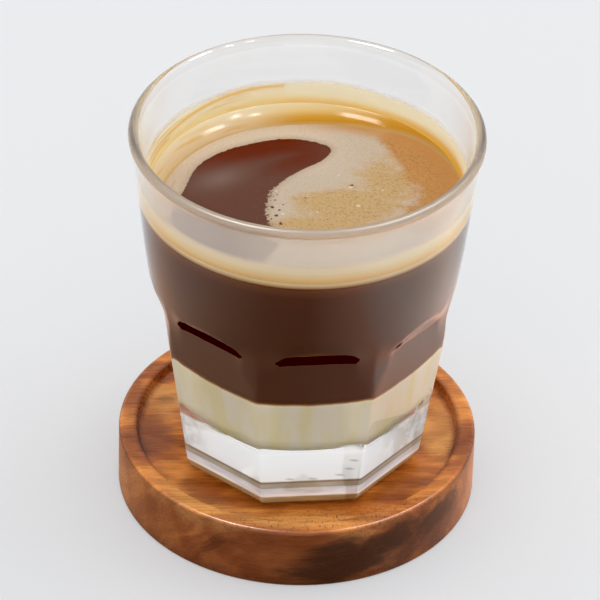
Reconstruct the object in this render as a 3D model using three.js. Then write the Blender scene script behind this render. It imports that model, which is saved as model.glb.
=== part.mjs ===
// A layered hot coffee in a pressed tumbler with eight flat panels, standing in
// the recess of a small round wooden board. Millimetres, +Z up. The origin is
// the centre of the board's underside.

import * as THREE from 'three';

const SEGMENTS = 64;            // facets round the glass and the drink
const BOARD_SEGMENTS = 72;
const GAP = 0.25;               // between pieces that touch

// Board
const BOARD_RADIUS = 42.4;
const BOARD_HEIGHT = 15.8;
const BOARD_TOP_ROUND = 1.2;
const BOARD_BOTTOM_ROUND = 0.6;
const RECESS_RADIUS_TOP = 38.2;
const RECESS_RADIUS_FLOOR = 37.7;
const RECESS_LIP_ROUND = 0.4;
const FOOT_LEVEL = 13.5;        // what the glass stands on

// The glass stands a little off the board's centre
const GLASS_X = 0.39;
const GLASS_Y = -1.37;
const PANEL_TURN = 6.6;         // degrees that the front panel is turned by

// Glass, heights above its foot
const PANELS = 8;
const FLAT_AT_FOOT = 27.15;     // from the axis to the middle of a panel
const FLAT_SLOPE = 0.135;
const LEDGE_START = 45;         // the flat runs out into the round body above this
const LEDGE_SLOPE = 0.42;
const HEEL_HEIGHT = 3.5;
const HEEL_STEP = 1.3;          // the heel's inward step at the table
const PUNT_RADIUS = 18;         // a hollow under the foot, steeper towards its middle
const PUNT_DEPTH = 0.8;
const LIP_RADIUS = 39.8;        // centre of the rounded lip
const LIP_LEVEL = 86.05;
const LIP_ROUND = 1.2;
const CAVITY_FLOOR = 15;
const CAVITY_CORNER = 5;

// Radius of the round body and of the inside, by height above the foot
const OUTER_KNOTS = [
  [0, 29.4], [15, 31.6], [31, 33.9], [44, 35.4], [58, 37.3], [70, 38.6], [82, 39.95], [84.5, 40.4],
];
const INNER_KNOTS = [
  [CAVITY_FLOOR, 25.4], [31, 28.0], [44, 30.2], [58, 33.8], [70, 36.0], [86, 38.6],
];
const OUTER_RINGS = [10, 20, 30, 38, 43, 45, 46.3, 47.6, 48.9, 50.4, 52, 55, 58, 64, 70, 76, 82, 84.5];
const INNER_RINGS = [82, 76, 70, 64, 58, 50, 44, 37.5, 31, 25.5];

// Drink, heights above the glass's foot
const MILK_TOP = 31.5;
const FOAM_EDGE_LEVEL = 70.7;   // the foam's top where it meets the wall
const FOAM_DIP = 2.6;           // how far its middle lies below that
const FOAM_THICKNESS = 1.5;
const FOAM_SLOPE_START = 30;    // radius where the foam starts to rise to the wall

function material(color, roughness, extra = {}) {
  return new THREE.MeshStandardMaterial({ color, roughness, metalness: 0, ...extra });
}

// Smooth interpolation between knots, without overshoot between them
function knotValue(knots, x) {
  const last = knots.length - 1;
  if (x <= knots[0][0]) return knots[0][1];
  if (x >= knots[last][0]) return knots[last][1];
  const slope = (i) => (knots[i + 1][1] - knots[i][1]) / (knots[i + 1][0] - knots[i][0]);
  const tangent = (i) => (i === 0 ? slope(0) : i === last ? slope(last - 1) : (slope(i - 1) + slope(i)) / 2);
  const i = knots.findIndex((knot) => knot[0] > x) - 1;
  const width = knots[i + 1][0] - knots[i][0];
  const t = (x - knots[i][0]) / width;
  const rise = knots[i][1] * (1 + 2 * t) * (1 - t) ** 2 + knots[i + 1][1] * t * t * (3 - 2 * t);
  return rise + width * (tangent(i) * t * (1 - t) ** 2 + tangent(i + 1) * t * t * (t - 1));
}

const bodyRadius = (level) => knotValue(OUTER_KNOTS, level);
const innerRadius = (level) => knotValue(INNER_KNOTS, level);

// Distance from the axis to a panel's middle: flat, then running out over the ledge
function flatDistance(level) {
  const ledge = Math.max(0, level - LEDGE_START) * LEDGE_SLOPE;
  return FLAT_AT_FOOT + FLAT_SLOPE * level + ledge;
}

// Points of a circular arc, angles in degrees
function arc(centreRadius, centreLevel, radius, from, to, steps) {
  const points = [];
  for (let i = 0; i <= steps; i++) {
    const angle = THREE.MathUtils.degToRad(from + ((to - from) * i) / steps);
    points.push([centreRadius + radius * Math.cos(angle), centreLevel + radius * Math.sin(angle)]);
  }
  return points;
}

// Turns a profile of [radius, height] points about the Z axis
function revolve(profile, segments) {
  const points = profile.map(([radius, height]) => new THREE.Vector2(Math.max(radius, 0), height));
  return new THREE.LatheGeometry(points, segments).rotateX(Math.PI / 2);
}

function boardGeometry() {
  const recessEdge = RECESS_RADIUS_TOP + RECESS_LIP_ROUND;
  const profile = [
    [0, 0],
    ...arc(BOARD_RADIUS - BOARD_BOTTOM_ROUND, BOARD_BOTTOM_ROUND, BOARD_BOTTOM_ROUND, -90, 0, 3),
    ...arc(BOARD_RADIUS - BOARD_TOP_ROUND, BOARD_HEIGHT - BOARD_TOP_ROUND, BOARD_TOP_ROUND, 0, 90, 4),
    ...arc(recessEdge, BOARD_HEIGHT - RECESS_LIP_ROUND, RECESS_LIP_ROUND, 90, 180, 2),
    [RECESS_RADIUS_FLOOR, FOOT_LEVEL - GAP],
    [0, FOOT_LEVEL - GAP],
  ];
  return revolve(profile, BOARD_SEGMENTS);
}

function glassProfile() {
  const heel = [];
  const heelSteps = 3;
  for (let i = 0; i <= heelSteps; i++) {
    const angle = ((Math.PI / 2) * i) / heelSteps;
    const level = HEEL_HEIGHT * (1 - Math.cos(angle));
    heel.push([bodyRadius(level) - HEEL_STEP * (1 - Math.sin(angle)), level]);
  }
  const floorEdge = innerRadius(CAVITY_FLOOR + CAVITY_CORNER) - CAVITY_CORNER;
  return [
    ...[0, 0.25, 0.5, 0.75, 1].map((t) => [PUNT_RADIUS * t, PUNT_DEPTH * (1 - t) ** 2]),
    ...heel,
    ...OUTER_RINGS.map((level) => [bodyRadius(level), level]),
    ...arc(LIP_RADIUS, LIP_LEVEL, LIP_ROUND, -30, 180, 7),
    ...INNER_RINGS.map((level) => [innerRadius(level), level]),
    ...arc(floorEdge, CAVITY_FLOOR + CAVITY_CORNER, CAVITY_CORNER, 0, -90, 4),
    [0, CAVITY_FLOOR],
  ];
}

// The outside is pressed in to the eight flats, from the heel up to where they
// run out. Vertices on the lines between two panels keep the round body's radius.
function glassGeometry() {
  const geometry = revolve(glassProfile(), SEGMENTS);
  const position = geometry.getAttribute('position');
  const panelAngle = (2 * Math.PI) / PANELS;
  for (let i = 0; i < position.count; i++) {
    const x = position.getX(i);
    const y = position.getY(i);
    const level = position.getZ(i);
    const radius = Math.hypot(x, y);
    const outside = radius > innerRadius(level) + 0.5 || level < CAVITY_FLOOR;
    if (!outside || radius <= PUNT_RADIUS + 0.1) continue;
    const turn = Math.atan2(y, x) / panelAngle;
    const offCentre = (turn - Math.floor(turn) - 0.5) * panelAngle;
    const heelStep = bodyRadius(level) - Math.min(radius, bodyRadius(level));
    const flat = flatDistance(level) / Math.cos(offCentre) - (level < HEEL_HEIGHT ? heelStep : 0);
    const scale = Math.min(1, flat / radius);
    position.setXY(i, x * scale, y * scale);
  }
  return geometry;
}

// Height of the foam's top: a shallow dish that rises to the wall
function foamTop(radius) {
  const wall = innerRadius(FOAM_EDGE_LEVEL);
  const t = THREE.MathUtils.clamp((radius - FOAM_SLOPE_START) / (wall - FOAM_SLOPE_START), 0, 1);
  return FOAM_EDGE_LEVEL - FOAM_DIP * (1 - t * t);
}

// Surface points from the axis out to just short of the wall
function dish(offset) {
  const wall = innerRadius(FOAM_EDGE_LEVEL - offset) - GAP;
  const points = [[0, foamTop(0) - offset]];
  const steps = 5;
  for (let i = 0; i <= steps; i++) {
    const radius = THREE.MathUtils.lerp(FOAM_SLOPE_START, wall, i / steps);
    points.push([radius, foamTop(radius) - offset]);
  }
  return points;
}

// Wall points between two levels, upwards, just short of the glass
function wallPoints(from, to, steps) {
  const points = [];
  for (let i = 1; i < steps; i++) {
    const level = THREE.MathUtils.lerp(from, to, i / steps);
    points.push([innerRadius(level) - GAP, level]);
  }
  return points;
}

function milkGeometry() {
  const corner = CAVITY_CORNER;
  const cornerLevel = CAVITY_FLOOR + corner;
  const floorEdge = innerRadius(cornerLevel) - corner;
  const profile = [
    [0, CAVITY_FLOOR + GAP],
    ...arc(floorEdge, cornerLevel, corner - GAP, -90, 0, 4),
    [innerRadius(25.5) - GAP, 25.5],
    [innerRadius(MILK_TOP) - GAP, MILK_TOP],
    [0, MILK_TOP],
  ];
  return revolve(profile, SEGMENTS);
}

function coffeeGeometry() {
  const bottom = MILK_TOP + GAP;
  const top = dish(FOAM_THICKNESS + GAP);
  const edge = top[top.length - 1];
  const profile = [
    [0, bottom],
    [innerRadius(bottom) - GAP, bottom],
    ...wallPoints(bottom, edge[1], 6),
    ...top.reverse(),
  ];
  return revolve(profile, SEGMENTS);
}

function cremaGeometry() {
  const profile = [...dish(FOAM_THICKNESS), ...dish(0).reverse()];
  return revolve(profile, SEGMENTS);
}

function addPiece(parent, name, geometry, surface) {
  const mesh = new THREE.Mesh(geometry, surface);
  mesh.name = name;
  parent.add(mesh);
  return mesh;
}

const group = new THREE.Group();
addPiece(group, 'board', boardGeometry(), material(0x8a5a38, 0.6));

const glassGroup = new THREE.Group();
glassGroup.position.set(GLASS_X, GLASS_Y, FOOT_LEVEL);
glassGroup.rotation.z = THREE.MathUtils.degToRad(PANEL_TURN - 90 - 180 / PANELS);
group.add(glassGroup);

addPiece(glassGroup, 'glass', glassGeometry(), material(0xe8eeee, 0.05, { transparent: true, opacity: 0.35 }));
addPiece(glassGroup, 'milk', milkGeometry(), material(0xd9c9a8, 0.4));
addPiece(glassGroup, 'coffee', coffeeGeometry(), material(0x2a0f06, 0.2));
addPiece(glassGroup, 'crema', cremaGeometry(), material(0xc09a64, 0.5));

export default group;
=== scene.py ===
"""Looks of a layered coffee in a panelled tumbler on a round wooden board.

Lengths are millimetres unless a comment says otherwise, and are turned into metres
where a mesh is made. Heights in the glass and the drink are counted from the glass's
foot, and all other heights from the board's underside.
"""

import math

import bpy
import numpy as np
from mathutils import Matrix, Vector, noise


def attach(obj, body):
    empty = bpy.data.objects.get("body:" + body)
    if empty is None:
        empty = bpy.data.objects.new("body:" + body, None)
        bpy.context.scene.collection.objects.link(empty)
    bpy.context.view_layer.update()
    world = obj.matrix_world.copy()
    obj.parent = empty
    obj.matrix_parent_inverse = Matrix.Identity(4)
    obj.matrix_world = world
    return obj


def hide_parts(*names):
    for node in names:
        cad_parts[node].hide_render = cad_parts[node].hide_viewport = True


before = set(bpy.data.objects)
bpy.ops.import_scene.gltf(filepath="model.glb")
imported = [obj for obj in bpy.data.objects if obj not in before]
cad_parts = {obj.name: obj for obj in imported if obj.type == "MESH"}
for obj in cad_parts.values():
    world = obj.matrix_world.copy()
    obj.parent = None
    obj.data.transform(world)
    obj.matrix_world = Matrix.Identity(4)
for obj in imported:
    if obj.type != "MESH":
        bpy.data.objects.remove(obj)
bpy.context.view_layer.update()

MM = 0.001
TURN = 2 * math.pi

# Camera, fitted to the photo's view, angles in degrees
PHOTO_PIXELS = 600
FOCAL_PIXELS = 5134.3
CAMERA_DISTANCE = 1200
CAMERA_ELEVATION = 35.93
CAMERA_ROLL = 1.72
CAMERA_TARGET = (-0.18, -1.37, 52.74)
SENSOR_WIDTH = 36

BLACK_LEVEL = 0.005  # the photo's deep shades are this much darker

# Board
BOARD_SEGMENTS = 256
BOARD_RADIUS = 42.4
BOARD_HEIGHT = 15.8
BOARD_TOP_ROUND = 1.2
BOARD_BOTTOM_ROUND = 0.6
RECESS_RADIUS_TOP = 38.2
RECESS_RADIUS_FLOOR = 37.7
RECESS_LIP_ROUND = 0.4
RECESS_CORNER = 0.8
FOOT_LEVEL = 13.5  # what the glass stands on
FOOT_GAP = 0.1  # from the recess's floor to the glass's foot

# Glass
GLASS_SEGMENTS = 384
GLASS_X = 0.39
GLASS_Y = -1.37
GLASS_IOR = 1.5
PANELS = 8
PANEL_TURN = 6.6  # degrees that the front panel is turned by
FLAT_AT_FOOT = 27.15
FLAT_SLOPE = 0.135
LEDGE_START = 45
LEDGE_SLOPE = 0.42
LEDGE_CRISP = 0.25  # how softly the ledge begins and ends at a panel's middle
LEDGE_SOFT = 2.6  # and towards the lines between the panels
LEDGE_MIDDLE = 0.45  # the share of a panel's width that stays crisp
RIDGE_ROUND = 0.3  # how softly two panels meet
RIDGE_SOFTENS = (36, 43)  # between these heights they come to meet as softly as the ledge
HEEL_HEIGHT = 3.5
HEEL_STEP = 1.3
PUNT_RADIUS = 18
PUNT_DEPTH = 0.8
FOOT_RING = 25.4  # the round underside ends here, and the panels begin outside it
LIP_RADIUS = 39.8
LIP_LEVEL = 86.05
LIP_ROUND = 1.2
CAVITY_FLOOR = 15
CAVITY_CORNER = 5
BODY_TOP = 84.5
LEDGE_RINGS = (43, 52)  # between these heights the mesh's rings lie closest
OUTER_KNOTS = [
    (0, 29.4), (15, 31.6), (31, 33.9), (44, 35.4), (58, 37.3), (70, 38.6), (82, 39.95), (BODY_TOP, 40.4),
]
INNER_KNOTS = [
    (CAVITY_FLOOR, 25.4), (31, 28.0), (44, 30.2), (58, 33.8), (70, 36.0), (86, 38.6),
]

# Heights at which the glass's looks change
HEEL_BAND = 7.8  # up to here the foot's front edge has painted bands, a painted reflection of what it gathers
BASE_CLEARS = (16.7, 17.8)  # the painted white over them clears between these
BASE_TOP = 18.8  # above this the wall's clear glass begins
LEDGE_END = 49.2  # the painted dark line under the ledge reaches up to here
LIP_START = 84.9  # the lip's own material begins here

# Which faces they change on, by the normals
FRONT_TILT = -0.3  # the base's front faces forwards by more than this
LEDGE_TILT = -0.33  # the ledge's underside faces down by more than this
LEDGE_THINS_FROM = 19  # right of this X the painted dark line thins out in front
LEDGE_THINNING = 0.035  # by this much of tilt in each millimetre

# Drink
DRINK_SEGMENTS = 192
CREMA_SEGMENTS = 512
FILM_SEGMENTS = 384
INTO_WALL = 0.12  # the drink reaches this far into the glass
LAYER_OVERLAP = 0.02  # and each layer this far into the one below
MILK_TOP = 31.5
FOAM_EDGE_LEVEL = 70.7
FOAM_DIP = 2.6
FOAM_THICKNESS = 1.5
FOAM_SLOPE_START = 30
FOAM_RELIEF = 0.22  # how far the foam stands over the open coffee
FOAM_GRAIN = 0.05  # how uneven that is
WALL_COFFEE = 5.9  # the widest that the clear coffee at the wall is
FILM_TOP = 77.0  # how high the film of foam on the wall reaches
FILM_BOTTOM = 70.2
FILM_THICKNESS = 0.08  # half of it lies in the glass, so that no gap shows
MIST_TOP = 85.3  # over the film the wall is misted up to here

# Outline of the foam's edge: angle in degrees, radius. Outside it the clear
# coffee climbs the wall.
FOAM_EDGE = [
    (-180, 33.0), (-120, 36.0), (-60, 36.0), (0, 36.0), (20, 35.4), (45, 34.3), (64, 32.3),
    (80, 31.0), (100, 30.3), (120, 30.6), (140, 31.1), (160, 31.8), (180, 33.0),
]
# Outline of the open, dark coffee, on the surface
PATCH_OUTLINE = [
    (-28.5, 0.3), (-25.4, 11.4), (-19.8, 17.9), (-11.3, 22.5), (-5.4, 24.1), (0.4, 23.6),
    (5.6, 20.7), (3.8, 15.9), (-0.6, 11.9), (-5.1, 7.2), (-7.8, 2.2), (-8.6, -2.7),
    (-8.7, -8.7), (-5.8, -16.5), (-8.0, -23.5), (-13.0, -30.0), (-20.0, -27.5), (-26.5, -20.5),
    (-30.8, -10.5),
]
# Tan and brown areas of the foam: centre, size, turn in degrees and strength
TAN_AREAS = [((7, -2), (11, 5), -12, 1.0), ((2, -12), (14, 5), 0, 0.9), ((19, 8), (9, 13), 0, 0.75)]
BROWN_AREAS = [((29, 12), (7, 12), 25, 1.1), ((24, 22), (9, 5), -40, 0.9), ((28, -6), (7, 8), 0, 0.9)]

# Bubbles and pits in the foam: colour, and x, y and size on the surface
FOAM_SPECKS = [
    ((0.80, 0.68, 0.52), [
        (10.5, 4.9, 0.6), (12.1, -2.5, 0.5), (-6.8, 2.4, 0.35), (-5.2, -6.6, 0.4), (0.3, 0.7, 0.35),
        (2.9, -5.6, 0.3), (17.8, 3.9, 0.35), (7.6, 9.8, 0.3),
    ]),
    ((0.06, 0.025, 0.012), [
        (10.6, 5.6, 0.5), (-0.1, 0.1, 0.28), (-7.0, -1.2, 0.3), (-6.0, -5.2, 0.4), (-7.4, -4.1, 0.5),
        (-6.6, -7.4, 0.55), (-5.5, -10.6, 0.5), (-7.7, -8.9, 0.35), (14.6, -5.2, 0.22), (5.2, -8.4, 0.2),
        (-6.5, 0.9, 0.25), (-5.0, -3.0, 0.22),
    ]),
]
SPECK_LEVEL = 82  # about the height of the foam's top over the board's underside
SPECK_DEPTH = 4

# Small grey marks in the base's painted white front: x, and height over the board's underside
BASE_MARKS = [(-1.2, 21.9), (4.1, 21.8), (10.3, 22.7), (12.5, 24.6), (13.5, 27.3)]

# Places in the wood, in the order they are painted: colour, strength, and soft
# ellipsoids as centre, size and, where it isn't zero, turn in degrees. The dark places at
# (-2, -27), (24, -22) and (-21, -23) on the recess floor, at the glass's foot, are painted
# shade from the glass.
WOOD_PLACES = [
    ((0.46, 0.235, 0.085), 0.85, [
        ((34, 1, 13.5), (6, 12, 4)),
        ((-32, 11, 13.3), (5.5, 7, 2.5)),
        ((0, -36, 14), (27, 6, 4)),
        ((-23, -30, 14.5), (13, 6, 4), (0, 0, -35)),
    ]),
    ((0.17, 0.050, 0.014), 0.8, [
        ((-35, -4, 14), (7, 9, 4)),
        # painted shade from the glass at its foot, as are the next place and (-21, -23)
        ((-2, -27, 13), (24, 4.5, 2)),
        ((24, -22, 13), (10, 5, 3), (0, 0, 42)),
        ((-40, 9, 15), (4.5, 13, 4), (0, 0, 8)),
        ((-21, -23, 13), (8, 6, 2.5), (0, 0, -40)),
        ((40, -8, 15), (5, 9, 4)),
        ((0, -43, 7), (22, 6, 10)),
        ((4, -43, 2), (22, 6, 4)),
    ]),
    ((0.085, 0.035, 0.026), 0.85, [
        ((35, -25, 6.5), (14, 12, 7.5)),
        ((24, -35, 5), (9, 8, 7)),
    ]),
    ((0.026, 0.012, 0.008), 0.92, [
        ((12, -41, 5.5), (17, 7, 8), (0, -8, 0)),
        ((22, -37, 9.5), (16, 7, 4.5), (0, -10, 30)),
        ((34, -26, 9.5), (10, 6, 4), (0, -10, 50)),
    ]),
]

# Lamps: name, place and size in metres, watts, and roll in degrees. The glint
# lamps show only in what mirrors them.
SOFT_LAMPS = [
    ("softbox_right", (1.2, 0.35, 1.4), (1.2, 1.2), 4, 0),
    ("fill_front", (-0.2, -1.5, 0.35), (1.4, 0.8), 3.5, 0),
]
GLINT_LAMPS = [
    ("glint_ring_right", (-0.54, -0.02, 1.70), (0.30, 0.44), 40, -26),
    ("glint_ring_left", (0.80, 0.48, 1.56), (0.30, 0.24), 17, 10),
    ("glint_ring_spot", (0.80, -0.035, 1.64), (0.20, 0.10), 9, 31),
    ("glint_ring_dot", (0.555, -0.02, 1.74), (0.20, 0.08), 8, 23),
]
LAMP_TARGET = (0, 0, 0.06)  # in metres


def smooth_step(t):
    t = np.clip(t, 0, 1)
    return t * t * (3 - 2 * t)


def knot_value(knots, x):
    """Smooth interpolation between knots, without overshoot between them."""
    xs = np.array([k[0] for k in knots], float)
    ys = np.array([k[1] for k in knots], float)
    slopes = np.diff(ys) / np.diff(xs)
    tangents = np.concatenate([[slopes[0]], (slopes[1:] + slopes[:-1]) / 2, [slopes[-1]]])
    x = np.clip(np.asarray(x, float), xs[0], xs[-1])
    i = np.clip(np.searchsorted(xs, x, side="right") - 1, 0, len(xs) - 2)
    width = xs[i + 1] - xs[i]
    t = (x - xs[i]) / width
    rise = ys[i] * (1 + 2 * t) * (1 - t) ** 2 + ys[i + 1] * t * t * (3 - 2 * t)
    return rise + width * (tangents[i] * t * (1 - t) ** 2 + tangents[i + 1] * t * t * (t - 1))


def body_radius(level):
    return knot_value(OUTER_KNOTS, level)


def inner_radius(level):
    return knot_value(INNER_KNOTS, level)


def flat_distance(level, soft):
    """From the axis to a panel's middle: flat, then running out over the ledge."""
    rise = level - LEDGE_START
    ledge = (rise + np.hypot(rise, soft)) / 2 * LEDGE_SLOPE
    return FLAT_AT_FOOT + FLAT_SLOPE * level + ledge


def smooth_min(a, b, width):
    gap = np.clip(0.5 + 0.5 * (b - a) / width, 0, 1)
    return b * (1 - gap) + a * gap - width * gap * (1 - gap)


def noise_at(x, y, z):
    return np.array([noise.noise(Vector(point)) for point in np.broadcast(x, y, z)])


def arc(centre_radius, centre_level, radius, start, end, steps):
    """Points of a circular arc, angles in degrees."""
    angles = np.radians(np.linspace(start, end, steps + 1))
    return [(centre_radius + radius * math.cos(a), centre_level + radius * math.sin(a)) for a in angles]


def levels(start, end, spacing):
    """Even levels from start to end, without the last."""
    count = max(1, round(abs(end - start) / spacing))
    return list(np.linspace(start, end, count + 1)[:-1])


def add_object(name, data):
    added = bpy.data.objects.new(name, data)
    bpy.context.scene.collection.objects.link(added)
    return added


def revolve(name, profile, segments, reshape=None):
    """A closed body turned about the Z axis from (radius, height) points.
    reshape(x, y, z) may move the points before the mesh is made."""
    angles = np.arange(segments) * TURN / segments
    points = []
    rings = []
    for radius, height in profile:
        start = len(points)
        if radius < 1e-6:
            points.append((0, 0, height))
            rings.append([start] * segments)
            continue
        points.extend((radius * math.cos(a), radius * math.sin(a), height) for a in angles)
        rings.append(list(range(start, start + segments)))
    faces = []
    for low, high in zip(rings, rings[1:]):
        for j in range(segments):
            k = (j + 1) % segments
            face = [low[j], low[k], high[k], high[j]]
            faces.append(list(dict.fromkeys(face)))
    x, y, z = np.array(points, float).T
    if reshape:
        x, y, z = reshape(x, y, z)
    mesh = bpy.data.meshes.new(name)
    mesh.from_pydata((np.stack([x, y, z], 1) * MM).tolist(), [], faces)
    mesh.validate()
    mesh.shade_smooth()
    return add_object(name, mesh)


def place_in_glass(piece):
    """Moves a piece modelled about the Z axis to the glass's place and turns it as the glass is."""
    turn = Matrix.Rotation(math.radians(PANEL_TURN - 90 - 180 / PANELS), 4, "Z")
    piece.data.transform(Matrix.Translation(Vector((GLASS_X, GLASS_Y, FOOT_LEVEL)) * MM) @ turn)
    return piece


def points_in_glass(mesh):
    """The mesh's points, and their x, y and height about the middle of the glass's foot."""
    points = np.array([v.co for v in mesh.vertices]) / MM
    return points, points[:, 0] - GLASS_X, points[:, 1] - GLASS_Y, points[:, 2] - FOOT_LEVEL


def stand_in_for(piece, node, material):
    piece.data.materials.append(material)
    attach(piece, "root")
    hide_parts(node)


class Nodes:
    """Short calls for building one material's node tree."""

    def __init__(self, name):
        self.material = bpy.data.materials.new(name)
        self.material.use_nodes = True
        self.tree = self.material.node_tree
        self.shader = self.tree.nodes["Principled BSDF"]

    def add(self, kind, **settings):
        node = self.tree.nodes.new(kind)
        for key, value in settings.items():
            setattr(node, key, value)
        return node

    def link(self, source, target):
        self.tree.links.new(source, target)

    def feed(self, socket, value):
        """Links the value if it is a socket, and sets it otherwise. A tuple is a colour."""
        if isinstance(value, bpy.types.NodeSocket):
            self.link(value, socket)
        elif isinstance(value, tuple):
            socket.default_value = (*value, 1)
        else:
            socket.default_value = value

    def fill(self, node, **sockets):
        """Feeds the node's inputs. An underscore in a name stands for a space."""
        for name, value in sockets.items():
            self.feed(node.inputs[name.replace("_", " ")], value)
        return node

    def math(self, operation, a, b, clamp=False):
        node = self.add("ShaderNodeMath", operation=operation, use_clamp=clamp)
        self.feed(node.inputs[0], a)
        self.feed(node.inputs[1], b)
        return node.outputs[0]

    def plus(self, a, b, clamp=False):
        return self.math("ADD", a, b, clamp)

    def minus(self, a, b):
        return self.math("SUBTRACT", a, b)

    def times(self, a, b):
        return self.math("MULTIPLY", a, b)

    def larger(self, a, b):
        return self.math("MAXIMUM", a, b)

    def share(self, part, whole):
        """The part of the whole, from 0 to 1."""
        return self.math("DIVIDE", part, whole, clamp=True)

    def millimetres(self):
        """The point on the object, in millimetres from the middle of the board's underside."""
        place = self.add("ShaderNodeTexCoord").outputs["Object"]
        scaled = self.add("ShaderNodeVectorMath", operation="SCALE")
        return self.fill(scaled, Vector=place, Scale=1 / MM).outputs[0]

    def along(self, vector, axis):
        """The vector's X, Y or Z."""
        return self.fill(self.add("ShaderNodeSeparateXYZ"), Vector=vector).outputs[axis]

    def length(self, vector):
        node = self.add("ShaderNodeVectorMath", operation="LENGTH")
        return self.fill(node, Vector=vector).outputs["Value"]

    def stretched(self, vector, scale, turn=(0, 0, 0), centre=(0, 0, 0), kind="POINT"):
        """The vector scaled, then turned by degrees. TEXTURE does the reverse, about the centre."""
        mapping = self.add("ShaderNodeMapping", vector_type=kind)
        angles = [math.radians(a) for a in turn]
        self.fill(mapping, Vector=vector, Location=list(centre), Rotation=angles, Scale=list(scale))
        return mapping.outputs[0]

    def spot(self, vector, centre, size, turn=(0, 0, 0)):
        """1 in the middle of a soft ellipsoid, and 0 beyond 1.3 times its size."""
        from_centre = self.length(self.stretched(vector, size, turn, centre, "TEXTURE"))
        return self.mask(from_centre, 1.3, 0.3)

    def spots(self, vector, places):
        """The strongest of several spots, each given by centre, size and perhaps turn."""
        strongest = None
        for place in places:
            spot = self.spot(vector, *place)
            strongest = spot if strongest is None else self.larger(strongest, spot)
        return strongest

    def warped(self, vector, scale, amount):
        """The vector, moved about by up to half the amount."""
        node = self.fill(self.add("ShaderNodeTexNoise"), Vector=vector, Scale=scale)
        moved = self.add("ShaderNodeVectorMath", operation="MULTIPLY_ADD")
        self.link(node.outputs["Color"], moved.inputs[0])
        moved.inputs[1].default_value = (amount, amount, amount)
        moved.inputs[2].default_value = (-amount / 2, -amount / 2, -amount / 2)
        total = self.add("ShaderNodeVectorMath", operation="ADD")
        self.link(vector, total.inputs[0])
        self.link(moved.outputs[0], total.inputs[1])
        return total.outputs[0]

    def noise(self, vector, scale, detail=3, rough=0.5, turn=(0, 0, 0)):
        """Noise from 0 to 1. Three scales, one for each axis, stretch it. The turn comes after
        them, so that it takes another part of the noise and leaves the stretch as it is."""
        if isinstance(scale, tuple):
            vector, scale = self.stretched(vector, scale, turn), 1.0
        node = self.add("ShaderNodeTexNoise")
        self.fill(node, Vector=vector, Scale=scale, Detail=detail, Roughness=rough)
        return node.outputs["Fac"]

    def ramp(self, value, stops, interpolation="EASE"):
        node = self.fill(self.add("ShaderNodeValToRGB"), Fac=value)
        ramp = node.color_ramp
        ramp.interpolation = interpolation
        while len(ramp.elements) < len(stops):
            ramp.elements.new(0.5)
        for element, (position, color) in zip(ramp.elements, stops):
            element.position = position
            element.color = (*color, 1)
        return node.outputs["Color"]

    def mask(self, value, start, end):
        """0 up to the start and 1 from the end on. The start may be the larger of the two."""
        node = self.add("ShaderNodeMapRange", interpolation_type="SMOOTHSTEP")
        return self.fill(node, Value=value, From_Min=start, From_Max=end).outputs["Result"]

    def mix(self, amount, a, b, blend="MIX"):
        """Two colours mixed. The node's sockets for colours are its inputs 6 and 7 and output 2."""
        node = self.add("ShaderNodeMix", data_type="RGBA", blend_type=blend)
        self.feed(node.inputs[0], amount)
        self.feed(node.inputs[6], a)
        self.feed(node.inputs[7], b)
        return node.outputs[2]

    def attribute(self, name):
        return self.add("ShaderNodeAttribute", attribute_name=name).outputs["Fac"]

    def bump(self, height, distance, strength):
        node = self.add("ShaderNodeBump")
        self.fill(node, Height=height, Distance=distance * MM, Strength=strength)
        self.fill(self.shader, Normal=node.outputs["Normal"])

    def finish(self, **sockets):
        self.fill(self.shader, **sockets)
        return self.material


def wood_grain(nodes, layers):
    """The broad colours of the grain."""
    warp = nodes.noise(layers, (0.02, 0.07, 0.07), 2)
    across = nodes.plus(nodes.along(layers, "Y"), nodes.times(warp, 16.0))
    broad = nodes.add("ShaderNodeCombineXYZ")
    nodes.fill(broad, X=nodes.times(nodes.along(layers, "X"), 0.03), Y=nodes.times(across, 0.13))
    return nodes.ramp(nodes.noise(broad.outputs[0], 1.0, 4, 0.6), [
        (0.30, (0.13, 0.036, 0.012)),
        (0.44, (0.27, 0.088, 0.024)),
        (0.56, (0.42, 0.165, 0.045)),
        (0.70, (0.54, 0.26, 0.085)),
    ])


def paint_wood_places(nodes, place, layers, base):
    """Lays the golden and dark places over the grain, with torn edges."""
    ragged = nodes.noise(layers, (0.06, 0.3, 0.3), 4, 0.65)
    for color, strength, places in WOOD_PLACES:
        torn = nodes.plus(nodes.spots(place, places), nodes.times(nodes.minus(ragged, 0.5), 1.7))
        base = nodes.mix(nodes.times(nodes.mask(torn, 0.05, 0.95), strength), base, color)
    return base


def paint_wood_light_and_shade(nodes, place, base):
    """Painted light and shade: a bright top, a darker side, painted shade at its foot and,
    but for the front, a painted shadow at the recess's step."""
    radius = nodes.length(nodes.stretched(place, (1, 1, 0)))
    on_side = nodes.mask(radius, BOARD_RADIUS - 0.5, BOARD_RADIUS - 0.05)
    # painted light: the top is brightened and the side darkened
    light_and_shade_tint = nodes.mix(on_side, (2.0, 1.75, 1.25), (0.75, 0.64, 0.58))
    # painted shade towards the foot
    light_and_shade_tint = nodes.mix(nodes.mask(nodes.along(place, "Z"), 3.5, 0.0), light_and_shade_tint, (0.40, 0.32, 0.30))
    base = nodes.mix(1.0, base, light_and_shade_tint, "MULTIPLY")
    # painted shadow at the recess's step, but for the front
    step_shadow = nodes.times(
        nodes.mask(radius, RECESS_RADIUS_FLOOR - 1.5, RECESS_RADIUS_FLOOR),
        nodes.mask(radius, RECESS_RADIUS_TOP + 1.2, RECESS_RADIUS_TOP + 0.1),
    )
    step_shadow = nodes.times(step_shadow, nodes.mask(nodes.along(place, "Y"), -30, -12))
    step_shadow_color = nodes.mix(1.0, base, (0.45, 0.30, 0.25), "MULTIPLY")
    return nodes.mix(nodes.times(step_shadow, 0.7), base, step_shadow_color)


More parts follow.
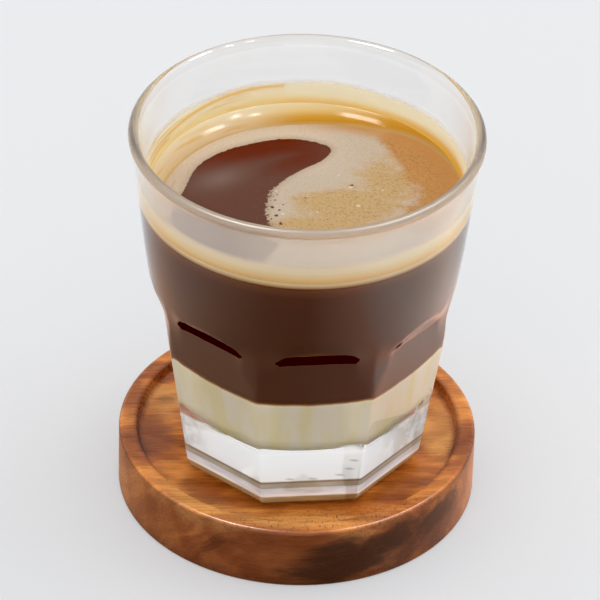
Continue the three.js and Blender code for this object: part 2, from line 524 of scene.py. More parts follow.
def wood_rings(nodes, place):
    """The shade of the wide growth rings."""
    rings = nodes.add("ShaderNodeTexWave", wave_type="RINGS", rings_direction="Z")
    turned = nodes.stretched(place, (0.4, 0.9, 0.9), (12, 0, 8))
    nodes.fill(rings, Vector=turned, Scale=0.07, Distortion=6.0, Detail=3.0, Detail_Scale=0.6)
    return nodes.ramp(rings.outputs["Fac"], [(0.0, (0.72, 0.60, 0.50)), (0.6, (1.05, 1.05, 1.05))])


def wood_material():
    """Oiled wood: long grain along X, its layers tilted, with dark and golden places, and painted light
    and shade.
    """
    nodes = Nodes("wood_oiled")
    place = nodes.millimetres()
    layers = nodes.stretched(place, (1, 1, 1), (-38, 0, -4))
    base = paint_wood_places(nodes, place, layers, wood_grain(nodes, layers))
    base = paint_wood_light_and_shade(nodes, place, base)
    base = nodes.mix(0.6, base, wood_rings(nodes, place), "MULTIPLY")
    fibres = nodes.noise(layers, (0.10, 1.5, 1.5), 4, 0.6)
    fibre_color = nodes.ramp(fibres, [
        (0.30, (0.62, 0.50, 0.42)), (0.55, (1, 1, 1)), (0.75, (1.12, 1.10, 1.05)),
    ])
    color = nodes.mix(0.36, base, fibre_color, "MULTIPLY")
    pores = nodes.noise(layers, (0.35, 4.5, 4.5), 2, 0.5)
    color = nodes.mix(nodes.times(nodes.mask(pores, 0.60, 0.70), 0.4), color, (0.08, 0.026, 0.010))
    ticks = nodes.noise(place, (2.2, 0.7, 1.2), 2, 0.6, turn=(0, 0, 25))
    tick_area = nodes.times(nodes.spot(place, (10, -35, 15), (34, 8, 5), (0, 0, 8)), 0.75)
    color = nodes.mix(nodes.times(nodes.mask(ticks, 0.57, 0.66), tick_area), color, (0.10, 0.030, 0.010))
    nodes.bump(fibres, 0.04, 0.3)
    roughness = nodes.plus(0.16, nodes.times(fibres, 0.24))
    return nodes.finish(Base_Color=color, Roughness=roughness, Specular_IOR_Level=0.28)


def glass_material():
    """Clear glass, with a faint bloom where it is seen at a slant."""
    return Nodes("glass_clear").finish(
        Base_Color=(0.995, 0.999, 0.997), Roughness=0.0, IOR=GLASS_IOR, Transmission_Weight=1.0,
        Sheen_Weight=0.28, Sheen_Roughness=0.25,
    )


def lip_material():
    """The fire-polished lip, rougher and less clear towards the front, where its brown is painted
    and stands in for the surroundings that the lip shows.
    """
    nodes = Nodes("glass_lip")
    behind = nodes.mask(nodes.along(nodes.millimetres(), "Y"), -28, 26)
    # painted brown at the front, for what the lip shows there
    color = nodes.mix(behind, (0.61, 0.47, 0.35), (0.92, 0.90, 0.87))
    roughness = nodes.minus(0.36, nodes.times(behind, 0.31))
    clear = nodes.plus(0.72, nodes.times(behind, 0.26))
    return nodes.finish(Base_Color=color, Roughness=roughness, IOR=GLASS_IOR, Transmission_Weight=clear)


def ledge_material():
    """The ledge's underside, painted near black: painted shade for the coffee's deepest shade, which the
    glass gathers there.
    """
    return Nodes("glass_ledge").finish(
        Base_Color=(0.026, 0.003, 0.002), Roughness=0.4, Specular_IOR_Level=0.0,
    )


def heel_bands(nodes, place):
    """A painted reflection: bands of the wood, the sky and the milk that the foot's edge gathers."""
    height = nodes.share(nodes.minus(nodes.along(place, "Z"), FOOT_LEVEL), HEEL_BAND)
    bands = nodes.ramp(height, [
        (0.0, (0.16, 0.07, 0.03)),
        (0.04, (0.38, 0.20, 0.065)),
        (0.33, (0.44, 0.25, 0.08)),
        (0.38, (0.98, 0.95, 0.90)),
        (0.45, (0.98, 0.96, 0.95)),
        (0.49, (0.84, 0.82, 0.82)),
        (0.69, (0.68, 0.69, 0.72)),
        (0.73, (0.36, 0.32, 0.25)),
        (0.77, (0.40, 0.36, 0.27)),
        (0.89, (0.37, 0.33, 0.24)),
        (0.94, (0.20, 0.12, 0.06)),
        (1.0, (0.50, 0.42, 0.33)),
    ], "LINEAR")
    uneven = nodes.noise(place, (0.10, 0.10, 0.5), 2, 0.5)
    shade = nodes.ramp(uneven, [(0.35, (0.86, 0.86, 0.88)), (0.65, (1.12, 1.12, 1.12))])
    return nodes.mix(1.0, bands, shade, "MULTIPLY")


def base_white(nodes, place):
    """Painted white over the bands for the bright surroundings that the base gathers, with grey
    marks, and streaked with painted grey shade towards the sides.
    """
    marks = nodes.spots(place, [((x, -28.5, z), (1.3, 5, 0.4), (0, 8, 0)) for x, z in BASE_MARKS])
    white = nodes.mix(nodes.times(marks, 0.55), (0.90, 0.93, 0.94), (0.25, 0.24, 0.25))
    across = nodes.along(place, "X")
    # painted grey shade towards the sides
    sideways = nodes.larger(nodes.mask(across, 17, 27), nodes.mask(across, -19, -27))
    streaks = nodes.mask(nodes.noise(place, (0.3, 0.3, 0.22), 3, 0.6), 0.36, 0.58)
    shaded = nodes.times(sideways, nodes.plus(0.30, nodes.times(streaks, 0.65)))
    return nodes.mix(shaded, white, (0.52, 0.48, 0.44))


def heel_material():
    """The front of the base, where the glass gathers its surroundings, painted on as bands and
    white with a faint painted glow, and little shows through.
    """
    nodes = Nodes("glass_heel")
    place = nodes.millimetres()
    level = nodes.along(place, "Z")
    over_bands = nodes.mask(level, FOOT_LEVEL + HEEL_BAND - 0.2, FOOT_LEVEL + HEEL_BAND + 0.2)
    color = nodes.mix(over_bands, heel_bands(nodes, place), base_white(nodes, place))
    clearing = nodes.mask(level, FOOT_LEVEL + BASE_CLEARS[0], FOOT_LEVEL + BASE_CLEARS[1])
    clear = nodes.plus(0.19, nodes.times(over_bands, 0.03))
    clear = nodes.plus(clear, nodes.times(clearing, 0.78))
    corner = nodes.spot(place, (12.8, -29, FOOT_LEVEL + 17.4), (3.6, 6, 1.7))
    clear = nodes.times(clear, nodes.minus(1.0, nodes.times(corner, 0.85)))
    # painted glow over the bands
    painted_glow = nodes.mix(over_bands, (0.0, 0.0, 0.0), (0.02, 0.03, 0.03))
    return nodes.finish(
        Base_Color=color, Roughness=0.06, IOR=GLASS_IOR, Transmission_Weight=clear,
        Emission_Color=painted_glow, Emission_Strength=1.0,
    )


def milk_material():
    """Condensed milk: cream, stained where the coffee rests on it, and with painted light at the
    bottom: a paler colour and a painted glow.
    """
    nodes = Nodes("milk_condensed")
    place = nodes.millimetres()
    level = nodes.along(place, "Z")
    streaks = nodes.noise(place, (0.16, 0.16, 0.03), 3, 0.5)
    cream = nodes.mix(nodes.mask(streaks, 0.40, 0.62), (0.93, 0.87, 0.70), (0.90, 0.81, 0.50))
    # two olive spots near the milk's lower corner
    olive_spots = nodes.spots(place, [((19, -18, 32.0), (5, 7, 3.5)), ((-14, -22, 32), (6, 7, 2.5))])
    cream = nodes.mix(nodes.times(olive_spots, 0.7), cream, (0.89, 0.80, 0.47))
    wobble = nodes.times(nodes.minus(nodes.noise(place, 0.25, 3), 0.5), 0.5)
    top = FOOT_LEVEL + MILK_TOP
    stain = nodes.ramp(nodes.mask(nodes.plus(level, wobble), top - 2.0, top), [
        (0.0, (1.0, 1.0, 1.0)),
        (0.45, (1.05, 1.06, 1.10)),
        (0.66, (0.92, 0.84, 0.70)),
        (0.80, (0.60, 0.34, 0.16)),
        (1.0, (0.14, 0.05, 0.02)),
    ], "LINEAR")
    body = nodes.mix(1.0, cream, stain, "MULTIPLY")
    bottom = FOOT_LEVEL + CAVITY_FLOOR
    # painted light on the underside: paler, and a painted glow
    underside = nodes.mask(nodes.plus(level, wobble), bottom + 1.2, bottom + 0.3)
    color = nodes.mix(underside, body, (0.98, 0.93, 0.80))
    painted_glow = nodes.mix(underside, (0.0, 0.0, 0.0), (0.065, 0.078, 0.03))
    return nodes.finish(
        Base_Color=color, Roughness=0.5, Specular_IOR_Level=0.05,
        Emission_Color=painted_glow, Emission_Strength=1.0,
    )


def coffee_material():
    """Dark coffee, a little lighter just under the foam."""
    nodes = Nodes("coffee_dark")
    top = FOOT_LEVEL + FOAM_EDGE_LEVEL - FOAM_THICKNESS
    color = nodes.ramp(nodes.mask(nodes.along(nodes.millimetres(), "Z"), top - 9, top), [
        (0.0, (0.042, 0.0060, 0.0020)),
        (0.75, (0.050, 0.0080, 0.0025)),
        (1.0, (0.110, 0.030, 0.0090)),
    ], "LINEAR")
    return nodes.finish(Base_Color=color, Roughness=0.3, Specular_IOR_Level=0.05)


def foam_color(nodes, place, fine):
    """Pale foam with tan and brown areas, mottled, and frothy in those areas."""
    medium = nodes.noise(place, (0.20, 0.34, 0.3), 4, 0.6, turn=(0, 0, 25))
    tan_amount = nodes.mask(nodes.plus(nodes.attribute("tan"), nodes.times(medium, 0.9)), 0.65, 1.15)
    brown_amount = nodes.mask(nodes.plus(nodes.attribute("brown"), nodes.times(medium, 0.8)), 0.65, 1.15)
    foam = nodes.mix(nodes.noise(place, 1.1, 3, 0.6), (0.60, 0.47, 0.345), (0.70, 0.575, 0.445))
    foam = nodes.mix(tan_amount, foam, (0.62, 0.41, 0.19))
    foam = nodes.mix(brown_amount, foam, (0.58, 0.29, 0.095))
    mottle = nodes.ramp(fine, [
        (0.30, (0.80, 0.74, 0.66)), (0.5, (1, 1, 1)), (0.72, (1.07, 1.06, 1.03)),
    ])
    foam = nodes.mix(0.55, foam, mottle, "MULTIPLY")
    froth = nodes.ramp(nodes.noise(place, 1.5, 3, 0.7), [
        (0.34, (0.72, 0.60, 0.46)), (0.50, (1, 1, 1)), (0.68, (1.16, 1.20, 1.28)),
    ])
    foam = nodes.mix(nodes.times(nodes.larger(tan_amount, brown_amount), 0.6), foam, froth, "MULTIPLY")
    return nodes.mix(nodes.attribute("rear"), foam, (1.17, 1.16, 1.14), "MULTIPLY")


def open_coffee_color(nodes, place, patch):
    """Dark coffee with spots of oil, and painted reflections: redder at its far edge, where it
    mirrors the amber wall, and a pale painted sheen.
    """
    # painted reflection of the amber wall at the far edge
    far_edge_reflection = nodes.times(nodes.mask(patch, 9.0, 3.5), nodes.attribute("rear"))
    dark = nodes.mix(far_edge_reflection, (0.147, 0.060, 0.038), (0.145, 0.018, 0.001))
    # painted sheen, where the field 'sheen' is
    dark = nodes.mix(nodes.attribute("sheen"), dark, (0.22, 0.127, 0.100))
    oil = nodes.mask(nodes.noise(place, 2.6, 2, 0.6), 0.64, 0.72)
    oil = nodes.times(oil, nodes.times(nodes.attribute("ragged"), 0.14))
    return nodes.mix(oil, dark, (0.42, 0.26, 0.15))


def wall_coffee_color(nodes, outside):
    """The clear coffee that climbs the wall, cream or amber."""
    climb = nodes.share(outside, WALL_COFFEE)
    amber = nodes.ramp(climb, [
        (0.0, (0.60, 0.38, 0.15)),
        (0.22, (0.66, 0.30, 0.022)),
        (0.45, (0.74, 0.38, 0.050)),
        (0.70, (0.90, 0.63, 0.26)),
        (1.0, (0.94, 0.82, 0.57)),
    ], "LINEAR")
    cream = nodes.mix(climb, (0.70, 0.48, 0.25), (0.96, 0.85, 0.61))
    return nodes.mix(nodes.attribute("amber"), cream, amber)


def paint_specks(nodes, place, surface):
    """Adds the bubbles and pits."""
    uneven = nodes.warped(place, 1.3, 1.1)
    for color, specks in FOAM_SPECKS:
        places = [
            ((x + GLASS_X, y + GLASS_Y, SPECK_LEVEL), (size, size, SPECK_DEPTH)) for x, y, size in specks
        ]
        surface = nodes.mix(nodes.spots(uneven, places), surface, color)
    return surface


def crema_material():
    """Foam with an open patch of dark coffee and an amber edge, from fields on the mesh."""
    nodes = Nodes("crema_foam")
    place = nodes.millimetres()
    patch = nodes.attribute("patch")
    outside = nodes.attribute("outside")
    fine = nodes.noise(place, 2.2, 4, 0.65)
    foam = foam_color(nodes, place, fine)
    foam = nodes.mix(nodes.times(nodes.mask(patch, -2.2, 0.2), 0.35), foam, (0.36, 0.22, 0.12))
    at_wall = nodes.times(nodes.mask(outside, -4.5, -0.4), nodes.attribute("amber"))
    at_wall = nodes.times(at_wall, nodes.minus(1.0, nodes.times(nodes.attribute("rear"), 0.85)))
    foam = nodes.mix(nodes.times(at_wall, 0.85), foam, (0.62, 0.29, 0.085))
    torn = nodes.times(nodes.minus(nodes.noise(place, 0.9, 5, 0.7), 0.5), nodes.attribute("ragged"))
    open_coffee = nodes.mask(nodes.plus(patch, torn), -0.10, 0.10)
    surface = nodes.mix(open_coffee, foam, open_coffee_color(nodes, place, patch))
    surface = paint_specks(nodes, place, surface)
    surface = nodes.mix(nodes.mask(outside, -0.15, 0.25), surface, wall_coffee_color(nodes, outside))
    wet = nodes.mask(nodes.plus(open_coffee, nodes.mask(outside, -0.1, 0.3), clamp=True), 0.0, 1.0)
    nodes.bump(nodes.times(fine, nodes.minus(1.0, wet)), 0.05, 0.35)
    roughness = nodes.minus(0.42, nodes.times(wet, 0.30))
    return nodes.finish(Base_Color=surface, Roughness=roughness, IOR=1.34, Specular_IOR_Level=0.10)


def crema_side_material():
    """The foam's rim, seen through the wall: cream above, golden at the coffee."""
    nodes = Nodes("crema_side")
    high = FOOT_LEVEL + FOAM_EDGE_LEVEL
    low = high - FOAM_THICKNESS
    color = nodes.ramp(nodes.mask(nodes.along(nodes.millimetres(), "Z"), low, high), [
        (0.0, (0.42, 0.22, 0.09)),
        (0.35, (0.72, 0.50, 0.24)),
        (1.0, (0.88, 0.72, 0.47)),
    ], "LINEAR")
    return nodes.finish(Base_Color=color, Roughness=0.5, Specular_IOR_Level=0.05)


def film_material():
    """Thin foam left on the wall over the drink, and mist over that, from fields on the mesh,
    with painted shade on the mist and a painted glow.
    """
    nodes = Nodes("crema_film")
    level = nodes.along(nodes.millimetres(), "Z")
    height = nodes.mask(level, FOOT_LEVEL + FILM_BOTTOM, FOOT_LEVEL + FILM_TOP)
    rear_cream = nodes.ramp(height, [
        (0.0, (0.97, 0.79, 0.42)),
        (0.35, (1.0, 0.90, 0.60)),
        (0.80, (1.0, 0.93, 0.68)),
        (1.0, (0.97, 0.85, 0.60)),
    ], "LINEAR")
    front_cream = nodes.ramp(height, [
        (0.0, (0.80, 0.50, 0.20)),
        (0.25, (0.93, 0.73, 0.42)),
        (0.55, (0.98, 0.88, 0.65)),
        (1.0, (0.97, 0.88, 0.72)),
    ], "LINEAR")
    in_front = nodes.attribute("front")
    misty = nodes.attribute("mist")
    foam = nodes.mix(in_front, rear_cream, front_cream)
    foam = nodes.mix(nodes.attribute("amber"), foam, (0.90, 0.48, 0.03))
    # painted shade: the mist is greyer where the field 'shade' is
    mist = nodes.mix(nodes.attribute("shade"), (0.98, 0.92, 0.84), (0.82, 0.78, 0.74))
    # painted glow
    painted_glow = nodes.mix(in_front, (0.10, 0.075, 0.020), (0.065, 0.035, 0.002))
    return nodes.finish(
        Base_Color=nodes.mix(misty, foam, mist), Roughness=0.6, Specular_IOR_Level=0.05,
        Alpha=nodes.attribute("cover"), Emission_Color=nodes.mix(misty, painted_glow, (0.0, 0.0, 0.0)),
        Emission_Strength=1.0,
    )


def floor_material():
    """White, with painted shade that makes it a little darker towards the front, and with some light of
    its own.
    """
    nodes = Nodes("floor_white")
    depth = nodes.mask(nodes.along(nodes.millimetres(), "Y"), -160, 160)
    color = nodes.mix(depth, (0.548, 0.553, 0.559), (0.58, 0.578, 0.58))
    return nodes.finish(
        Base_Color=color, Roughness=0.7, Specular_IOR_Level=0.1,
        Emission_Color=(0.270, 0.276, 0.284), Emission_Strength=1.0,
    )


def card_material():
    """What the glass's front mirrors: brown light, paler at the sides and grey behind."""
    nodes = Nodes("card_brown")
    place = nodes.millimetres()
    across = nodes.add("ShaderNodeMapRange")
    nodes.fill(across, Value=nodes.along(place, "X"), From_Min=-100, From_Max=100)
    brown = nodes.ramp(across.outputs["Result"], [
        (0.0, (0.54, 0.37, 0.29)),
        (0.10, (0.54, 0.32, 0.21)),
        (0.30, (0.40, 0.205, 0.12)),
        (0.54, (0.38, 0.190, 0.11)),
        (0.80, (0.78, 0.43, 0.31)),
        (0.89, (0.86, 0.64, 0.54)),
        (0.98, (0.95, 0.78, 0.68)),
    ], "LINEAR")
    behind = nodes.mask(nodes.along(place, "Y"), 18, 95)
    return nodes.finish(
        Base_Color=(0, 0, 0), Roughness=1.0, Specular_IOR_Level=0.0,
        Emission_Color=nodes.mix(behind, brown, (0.43, 0.43, 0.44)), Emission_Strength=2.0,
    )


def make_board():
    recess_edge = RECESS_RADIUS_TOP + RECESS_LIP_ROUND
    floor_edge = RECESS_RADIUS_FLOOR - RECESS_CORNER
    floor_level = FOOT_LEVEL - FOOT_GAP
    profile = [
        (0, 0),
        *arc(BOARD_RADIUS - BOARD_BOTTOM_ROUND, BOARD_BOTTOM_ROUND, BOARD_BOTTOM_ROUND, -90, 0, 6),
        *arc(BOARD_RADIUS - BOARD_TOP_ROUND, BOARD_HEIGHT - BOARD_TOP_ROUND, BOARD_TOP_ROUND, 0, 90, 10),
        *arc(recess_edge, BOARD_HEIGHT - RECESS_LIP_ROUND, RECESS_LIP_ROUND, 90, 180, 5),
        *arc(floor_edge, floor_level + RECESS_CORNER, RECESS_CORNER, 0, -90, 6),
        (0, floor_level),
    ]
    board = revolve("board_turned", profile, BOARD_SEGMENTS)
    stand_in_for(board, "board", wood_material())


def foot_rings():
    """Rings under the foot, from its middle outwards: radius and height."""
    hollow = [(PUNT_RADIUS * t, PUNT_DEPTH * (1 - t) ** 2) for t in np.linspace(0, 1, 19)]
    return [*hollow, (20, 0), (23, 0), (FOOT_RING, 0)]


def heel_rings():
    """Rings of the heel's quarter-round step, upwards."""
    rings = []
    steps = 10
    for i in range(steps + 1):
        angle = math.pi / 2 * i / steps
        level = HEEL_HEIGHT * (1 - math.cos(angle))
        rings.append((float(body_radius(level)) - HEEL_STEP * (1 - math.sin(angle)), level))
    return rings


def wall_point(level, reach=INTO_WALL):
    """Radius and height of the wall's inside, moved into the glass by the reach."""
    return float(inner_radius(level)) + reach, level


def corner_points(start, end, reach=0):
    """The cavity's round corner, moved into the glass by the reach."""
    level = CAVITY_FLOOR + CAVITY_CORNER
    return arc(float(inner_radius(level)) - CAVITY_CORNER, level, CAVITY_CORNER + reach, start, end, 12)


def glass_profile():
    low, high = LEDGE_RINGS
    outside = (
        levels(HEEL_HEIGHT + 0.8, HEEL_BAND, 1.2)
        + levels(HEEL_BAND, low, 1.4)
        + levels(low, high, 0.35)
        + levels(high, BODY_TOP, 1.3)
        + [BODY_TOP]
    )
    inside = levels(85.2, CAVITY_FLOOR + CAVITY_CORNER, 1.3)
    return [
        *foot_rings(),
        *heel_rings(),
        *[(float(body_radius(level)), level) for level in outside],
        *arc(LIP_RADIUS, LIP_LEVEL, LIP_ROUND, -40, 180, 18),
        *[wall_point(level, 0) for level in inside],
        *corner_points(0, -90),
        (0, CAVITY_FLOOR),
    ]


def press_panels(x, y, z):
    """Moves the outside in to the eight flats, which run out over the ledge."""
    radius = np.hypot(x, y)
    outside = (radius > inner_radius(z) + 0.5) | (z < CAVITY_FLOOR)
    outside &= radius > FOOT_RING + 0.1
    panel_angle = TURN / PANELS
    turn = np.arctan2(y, x) / panel_angle
    off_centre = (turn - np.floor(turn) - 0.5) * panel_angle
    heel_step = np.where(z < HEEL_HEIGHT, body_radius(z) - np.minimum(radius, body_radius(z)), 0)
    to_corner = smooth_step(np.abs(off_centre) / (panel_angle / 2) / LEDGE_MIDDLE - 1.0)
    ledge_soft = LEDGE_CRISP + (LEDGE_SOFT - LEDGE_CRISP) * to_corner
    flat = flat_distance(z, ledge_soft) / np.cos(off_centre) - heel_step
    start, end = RIDGE_SOFTENS
    soft = RIDGE_ROUND + (ledge_soft - RIDGE_ROUND) * smooth_step((z - start) / (end - start))
    pressed = smooth_min(radius, flat, soft)
    pressed = np.where(flat > radius + soft, radius, pressed)
    scale = np.where(outside, pressed / np.maximum(radius, 1e-6), 1)
    return x * scale, y * scale, z


def paint_glass(mesh):
    """Gives the lip, the ledge's underside and the base's front their own materials."""
    lip, ledge, heel = 1, 2, 3
    mesh.materials.append(lip_material())
    mesh.materials.append(ledge_material())
    mesh.materials.append(heel_material())
    lip_start = (FOOT_LEVEL + LIP_START) * MM
    ledge_start = (FOOT_LEVEL + LEDGE_START - 1) * MM
    ledge_end = (FOOT_LEVEL + LEDGE_END) * MM
    base_end = (FOOT_LEVEL + BASE_TOP) * MM
    for face in mesh.polygons:
        level = face.center.z
        lies_flat = abs(face.normal.z) > 0.99
        if level < base_end and face.normal.y < FRONT_TILT and not lies_flat:
            face.material_index = heel
        elif level > lip_start:
            face.material_index = lip
        elif ledge_start < level < ledge_end:
            past = max(0, face.center.x / MM - LEDGE_THINS_FROM) if face.center.y < 0 else 0
            if face.normal.z < LEDGE_TILT - LEDGE_THINNING * past:
                face.material_index = ledge


def make_glass():
    glass = place_in_glass(revolve("tumbler", glass_profile(), GLASS_SEGMENTS, press_panels))
    stand_in_for(glass, "glass", glass_material())
    paint_glass(glass.data)


def wall_points(start, end, spacing):
    return [wall_point(level) for level in levels(start, end, spacing)]


def foam_top(radius):
    """Height of the foam's top: a shallow dish that rises to the wall."""
    wall = float(inner_radius(FOAM_EDGE_LEVEL))
    t = np.clip((radius - FOAM_SLOPE_START) / (wall - FOAM_SLOPE_START), 0, 1)
    return FOAM_EDGE_LEVEL - FOAM_DIP * (1 - t * t)


def make_milk():
    profile = [
        (0, CAVITY_FLOOR - INTO_WALL),
        *corner_points(-90, 0, INTO_WALL),
        *wall_points(CAVITY_FLOOR + CAVITY_CORNER + 1, MILK_TOP, 1.0),
        wall_point(MILK_TOP),
        (0, MILK_TOP),
    ]
    milk = place_in_glass(revolve("milk_layer", profile, DRINK_SEGMENTS))
    stand_in_for(milk, "milk", milk_material())


def make_coffee():
    bottom = MILK_TOP - LAYER_OVERLAP
    rim = wall_point(FOAM_EDGE_LEVEL - FOAM_THICKNESS)
    dish_radii = np.linspace(rim[0], FOAM_SLOPE_START, 12)[1:]
    profile = [
        (0, bottom),
        *wall_points(bottom, rim[1], 1.5),
        rim,
        *[(radius, float(foam_top(radius)) - FOAM_THICKNESS) for radius in dish_radii],
        (0, FOAM_EDGE_LEVEL - FOAM_DIP - FOAM_THICKNESS),
    ]
    coffee = place_in_glass(revolve("coffee_layer", profile, DRINK_SEGMENTS))
    stand_in_for(coffee, "coffee", coffee_material())


def closed_curve(points, steps):
    """A smooth closed line through the points."""
    points = np.array(points, float)
    curve = []
    for i in range(len(points)):
        p0, p1, p2, p3 = (points[(i + k) % len(points)] for k in (-1, 0, 1, 2))
        for t in np.linspace(0, 1, steps, endpoint=False):
            curve.append(0.5 * (
                2 * p1 + (p2 - p0) * t + (2 * p0 - 5 * p1 + 4 * p2 - p3) * t ** 2
                + (3 * p1 - p0 - 3 * p2 + p3) * t ** 3
            ))
    return np.array(curve)


def distance_inside(curve, x, y):
    """Distance to a closed line, positive inside it."""
    best = np.full(x.shape, np.inf)
    inside = np.zeros(x.shape, bool)
    for (ax, ay), (bx, by) in zip(curve, np.roll(curve, -1, axis=0)):
        dx, dy = bx - ax, by - ay
        t = np.clip(((x - ax) * dx + (y - ay) * dy) / (dx * dx + dy * dy), 0, 1)
        best = np.minimum(best, np.hypot(x - ax - t * dx, y - ay - t * dy))
        crosses = (ay > y) != (by > y)
        inside ^= crosses & (x < ax + (y - ay) * dx / (dy if dy else 1e-9))
    return np.where(inside, best, -best)


def soft_area(x, y, centre, size, turn=0):
    """1 at the centre of a soft ellipse, about a third at its edge, and fading out beyond."""
    angle = math.radians(turn)
    dx, dy = x - centre[0], y - centre[1]
    u = (dx * math.cos(angle) + dy * math.sin(angle)) / size[0]
    v = (-dx * math.sin(angle) + dy * math.cos(angle)) / size[1]
    return np.exp(-(u * u + v * v))


def soft_areas(x, y, areas):
    return sum(soft_area(x, y, centre, size, turn) * strength for centre, size, turn, strength in areas)


def wall_streaks(azimuth, across):
    """Uneven orange lines that run round the wall at the left."""
    lines = noise_at(azimuth * 0.04, across * 1.5, 0.0)
    return np.clip(lines * 2.0, 0, 0.65) * smooth_step((np.abs(azimuth) - 100) / 30)


def amber_amount(azimuth):
    """How amber the clear coffee at the wall is: strongly behind and at the right."""
    return 0.14 + 0.86 * smooth_step((124 - azimuth) / 34) * smooth_step((azimuth + 60) / 50)


def add_fields(mesh, **fields):
    for name, values in fields.items():
        field = mesh.attributes.new(name, "FLOAT", "POINT")
        field.data.foreach_set("value", np.asarray(values, np.float32))


def crema_profile():
    under_level = FOAM_EDGE_LEVEL - FOAM_THICKNESS
    under_radii = (0, FOAM_SLOPE_START, FOAM_SLOPE_START + 3)
    wall_levels = np.linspace(under_level, FOAM_EDGE_LEVEL, 6)[:-1]
    slope_radii = np.linspace(wall_point(FOAM_EDGE_LEVEL)[0], FOAM_SLOPE_START, 26)
    middle_radii = np.arange(FOAM_SLOPE_START - 0.3, 0.2, -0.3)
    return [
        *[(r, float(foam_top(r)) - FOAM_THICKNESS - LAYER_OVERLAP) for r in under_radii],
        *[wall_point(level) for level in wall_levels],
        *[(r, float(foam_top(r))) for r in (*slope_radii, *middle_radii, 0)],
    ]


def make_crema():
    crema = place_in_glass(revolve("crema_layer", crema_profile(), CREMA_SEGMENTS))
    mesh = crema.data
    points, x, y, level = points_in_glass(mesh)
    radius = np.hypot(x, y)
    azimuth = np.degrees(np.arctan2(y, x))
    patch = distance_inside(closed_curve(PATCH_OUTLINE, 8), x, y)
    outside = radius - knot_value(FOAM_EDGE, azimuth)
    add_fields(
        mesh,
        patch=patch,
        # where the open coffee has a painted sheen
        sheen=soft_area(x, y, (-20, 7), (6.5, 3.6), 35),
        rear=smooth_step((y - 6) / 12) * smooth_step((14 - x) / 20),
        amber=np.maximum(amber_amount(azimuth), wall_streaks(azimuth, outside)),
        outside=outside,
        tan=soft_areas(x, y, TAN_AREAS),
        brown=soft_areas(x, y, BROWN_AREAS),
        ragged=0.9 + 7.0 * soft_area(x, y, (-7.5, -3), (4.5, 8.5)),
    )

    on_top = level > foam_top(radius) - 0.3
    foam_here = 1 - smooth_step((patch + 0.5) / 1.0)
    foam_here *= 1 - smooth_step((outside + 1.2) / 1.4)
    relief = FOAM_RELIEF + FOAM_GRAIN * noise_at(x * 0.9, y * 0.9, 0.0)
    points[:, 2] += np.where(on_top, foam_here * relief, 0)
    mesh.vertices.foreach_set("co", (points * MM).astype(np.float32).ravel())
    mesh.update()

    stand_in_for(crema, "crema", crema_material())
    mesh.materials.append(crema_side_material())
    for face in mesh.polygons:
        if not on_top[list(face.vertices)].all():
            face.material_index = 1


def film_amber(azimuth, level, height):
    """Where the film is amber: low down, in streaks, and in a line that climbs the wall at
    the back left and ends short of the back. Returns all of it, the line, and what is under it."""
    behind = smooth_step((azimuth - 98) / 1.5) * smooth_step((175 - azimuth) / 25)
    line_level = 75.2 - 2.2 * smooth_step((azimuth - 105) / 60)
    line = np.exp(-((level - line_level) / 0.5) ** 2) * behind * 0.8
    under_line = behind * smooth_step((line_level - level) / 1.2) * 0.12
    at_right = smooth_step((70 - azimuth) / 50) * smooth_step((azimuth + 60) / 50)
    low = smooth_step((72.6 + 1.8 * at_right - height) / 2.4)
    low = low * amber_amount(azimuth) * (0.65 + 0.35 * at_right)
    top_line = np.exp(-((FILM_TOP - 0.7 - height) / 0.3) ** 2) * 0.3
    streaks = wall_streaks(azimuth, level)
    return np.max([line, under_line, low, top_line, streaks], axis=0), line, under_line


def make_film():
    """A thin closed shell at the glass's inner surface, over the drink."""
    rows = np.concatenate([
        np.linspace(FILM_BOTTOM, FILM_TOP + 1, 36),
        np.linspace(FILM_TOP + 1.5, MIST_TOP, 10),
    ])
    up = [wall_point(level, FILM_THICKNESS / 2) for level in rows]
    down = [wall_point(level, -FILM_THICKNESS / 2) for level in rows[::-1]]
    film = place_in_glass(revolve("crema_on_wall", [*up, *down, up[0]], FILM_SEGMENTS))
    mesh = film.data
    _, x, y, level = points_in_glass(mesh)
    azimuth = np.degrees(np.arctan2(y, x))
    height = level + 0.4 * noise_at(x * 0.09, y * 0.09, level * 0.5)
    amber, line, under_line = film_amber(azimuth, level, height)
    foamy = smooth_step((FILM_TOP - height) / 2.0)
    in_glass = np.hypot(x, y) > inner_radius(level)
    in_front = smooth_step((np.sin(np.radians(-azimuth)) + 0.1) / 0.8)
    mist = np.where(in_glass, 0.04 + 0.49 * in_front, 0.01 + 0.32 * in_front)
    foam = np.where(in_glass, 0.56 + 0.38 * in_front, 0.52 + 0.36 * in_front)
    foam += (0.35 - 0.25 * in_front) * smooth_step((73.5 - height) / 3)
    foam += 0.35 * line + 0.2 * under_line
    cover = (mist + foamy * (foam - mist)) * smooth_step((MIST_TOP - level) / (2.5 - 1.7 * in_front))
    # where the mist gets painted shade: at the front left, and less at the front right
    shade = np.maximum(smooth_step((-101 - azimuth) / 16), 0.8 * smooth_step((azimuth + 75) / 25))
    add_fields(
        mesh,
        amber=amber * (1 - 0.8 * in_front),
        front=in_front,
        mist=1 - foamy,
        shade=in_front * shade,
        cover=np.clip(cover, 0, 1),
    )
    mesh.materials.append(film_material())
    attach(film, "root")


def stage_plane(name, low, high, level, material):
    """A level rectangle, measured in metres, for the floor and the card."""
    mesh = bpy.data.meshes.new(name)
    (x0, y0), (x1, y1) = low, high
    corners = [(x0, y0, level), (x1, y0, level), (x1, y1, level), (x0, y1, level)]
    mesh.from_pydata(corners, [], [(0, 1, 2, 3)])
    mesh.materials.append(material)
    plane = add_object(name, mesh)
    return plane


def make_floor():
    stage_plane("floor", (-3, -3), (3, 3), 0, floor_material())


def make_card():
    """A brown card on the floor, which shows only in what mirrors it."""
    card = stage_plane("card", (-0.5, -0.6), (0.5, 0.3), 0.0004, card_material())
    card.visible_camera = False
    card.visible_diffuse = False
    card.visible_transmission = False
    card.visible_shadow = False


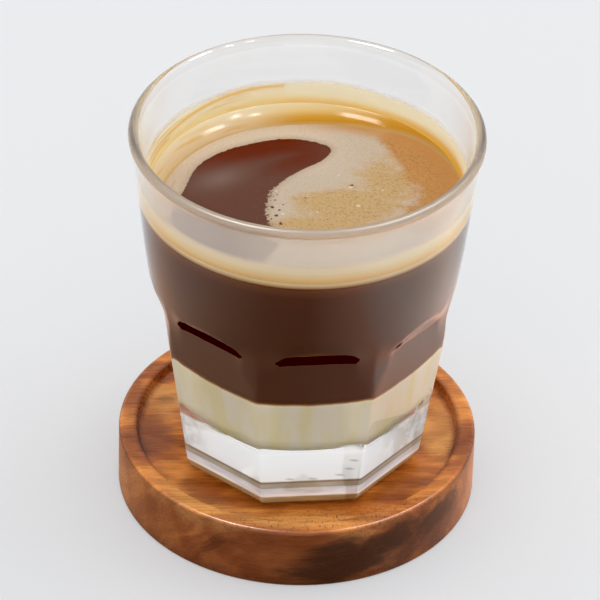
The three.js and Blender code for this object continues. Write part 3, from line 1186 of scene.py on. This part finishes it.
def make_camera():
    elevation = math.radians(CAMERA_ELEVATION)
    roll = math.radians(CAMERA_ROLL)
    forward = Vector((0, math.cos(elevation), -math.sin(elevation)))
    level_right = Vector((1, 0, 0))
    level_up = level_right.cross(forward)
    right = level_right * math.cos(roll) + level_up * math.sin(roll)
    up = level_up * math.cos(roll) - level_right * math.sin(roll)
    data = bpy.data.cameras.new("camera")
    data.sensor_width = SENSOR_WIDTH
    data.lens = FOCAL_PIXELS / PHOTO_PIXELS * SENSOR_WIDTH
    camera = add_object("camera", data)
    place = Vector(CAMERA_TARGET) * MM - forward * CAMERA_DISTANCE * MM
    rotation = Matrix((right, up, -forward)).transposed().to_4x4()
    camera.matrix_world = Matrix.Translation(place) @ rotation
    bpy.context.scene.camera = camera


def add_lamp(name, place, size, watts, roll, only_glints):
    data = bpy.data.lights.new(name, "AREA")
    data.shape = "RECTANGLE"
    data.size, data.size_y = size
    data.energy = watts
    lamp = add_object(name, data)
    lamp.location = place
    aimed = (Vector(LAMP_TARGET) - Vector(place)).to_track_quat("-Z", "Y")
    rolled = aimed.to_matrix() @ Matrix.Rotation(math.radians(roll), 3, "Z")
    lamp.rotation_euler = rolled.to_euler()
    lamp.visible_diffuse = not only_glints
    lamp.visible_transmission = not only_glints


def make_lights():
    world = bpy.data.worlds.new("studio")
    world.use_nodes = True
    background = world.node_tree.nodes["Background"]
    background.inputs["Color"].default_value = (0.975, 0.985, 1.0, 1)
    background.inputs["Strength"].default_value = 0.88
    bpy.context.scene.world = world
    for lamp in SOFT_LAMPS:
        add_lamp(*lamp, only_glints=False)
    for lamp in GLINT_LAMPS:
        add_lamp(*lamp, only_glints=True)


def set_render():
    view = bpy.context.scene.view_settings
    view.view_transform = "Standard"
    view.use_curve_mapping = True
    view.curve_mapping.black_level = (BLACK_LEVEL, BLACK_LEVEL, BLACK_LEVEL)
    view.curve_mapping.update()
    cycles = bpy.context.scene.cycles
    cycles.max_bounces = 16
    cycles.transmission_bounces = 14
    cycles.glossy_bounces = 8
    cycles.transparent_max_bounces = 16
    cycles.caustics_refractive = True
    cycles.caustics_reflective = True
    cycles.sample_clamp_indirect = 6.0


make_camera()
make_floor()
make_card()
make_lights()
set_render()
make_board()
make_glass()
make_milk()
make_coffee()
make_crema()
make_film()
